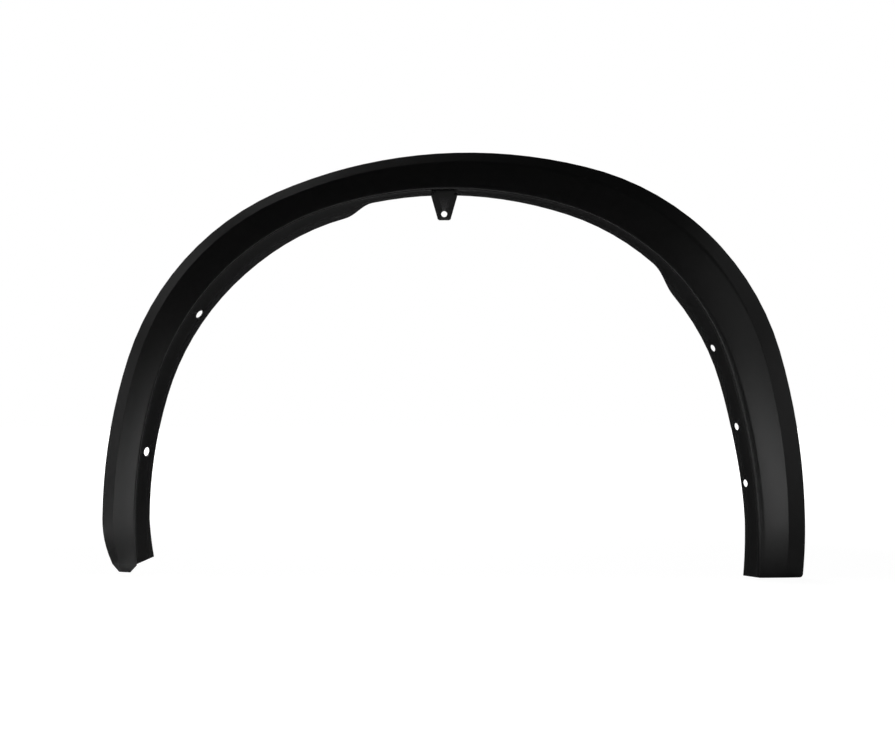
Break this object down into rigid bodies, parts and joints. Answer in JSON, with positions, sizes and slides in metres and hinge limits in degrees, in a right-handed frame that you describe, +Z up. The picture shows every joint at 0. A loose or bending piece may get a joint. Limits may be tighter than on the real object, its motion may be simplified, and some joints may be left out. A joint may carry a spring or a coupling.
{
  "type": "wheel arch trim",
  "caption": "Moulded plastic wheel arch trim with a shouldered face, an inner flange with rivet holes and a screw tab at its crown.",
  "frame": {"origin": "centre of the crown tab's screw hole, on the tab's outer face", "axes": "+X from the front leg to the rear leg, -Y away from the car, +Z up"},
  "size_m": [0.9223, 0.057, 0.555],
  "materials": {
    "trim_plastic": "satin, finely grained"
  },
  "bodies": {
    "root": {"arch_trim": "trim_plastic"}
  },
  "joints": []
}
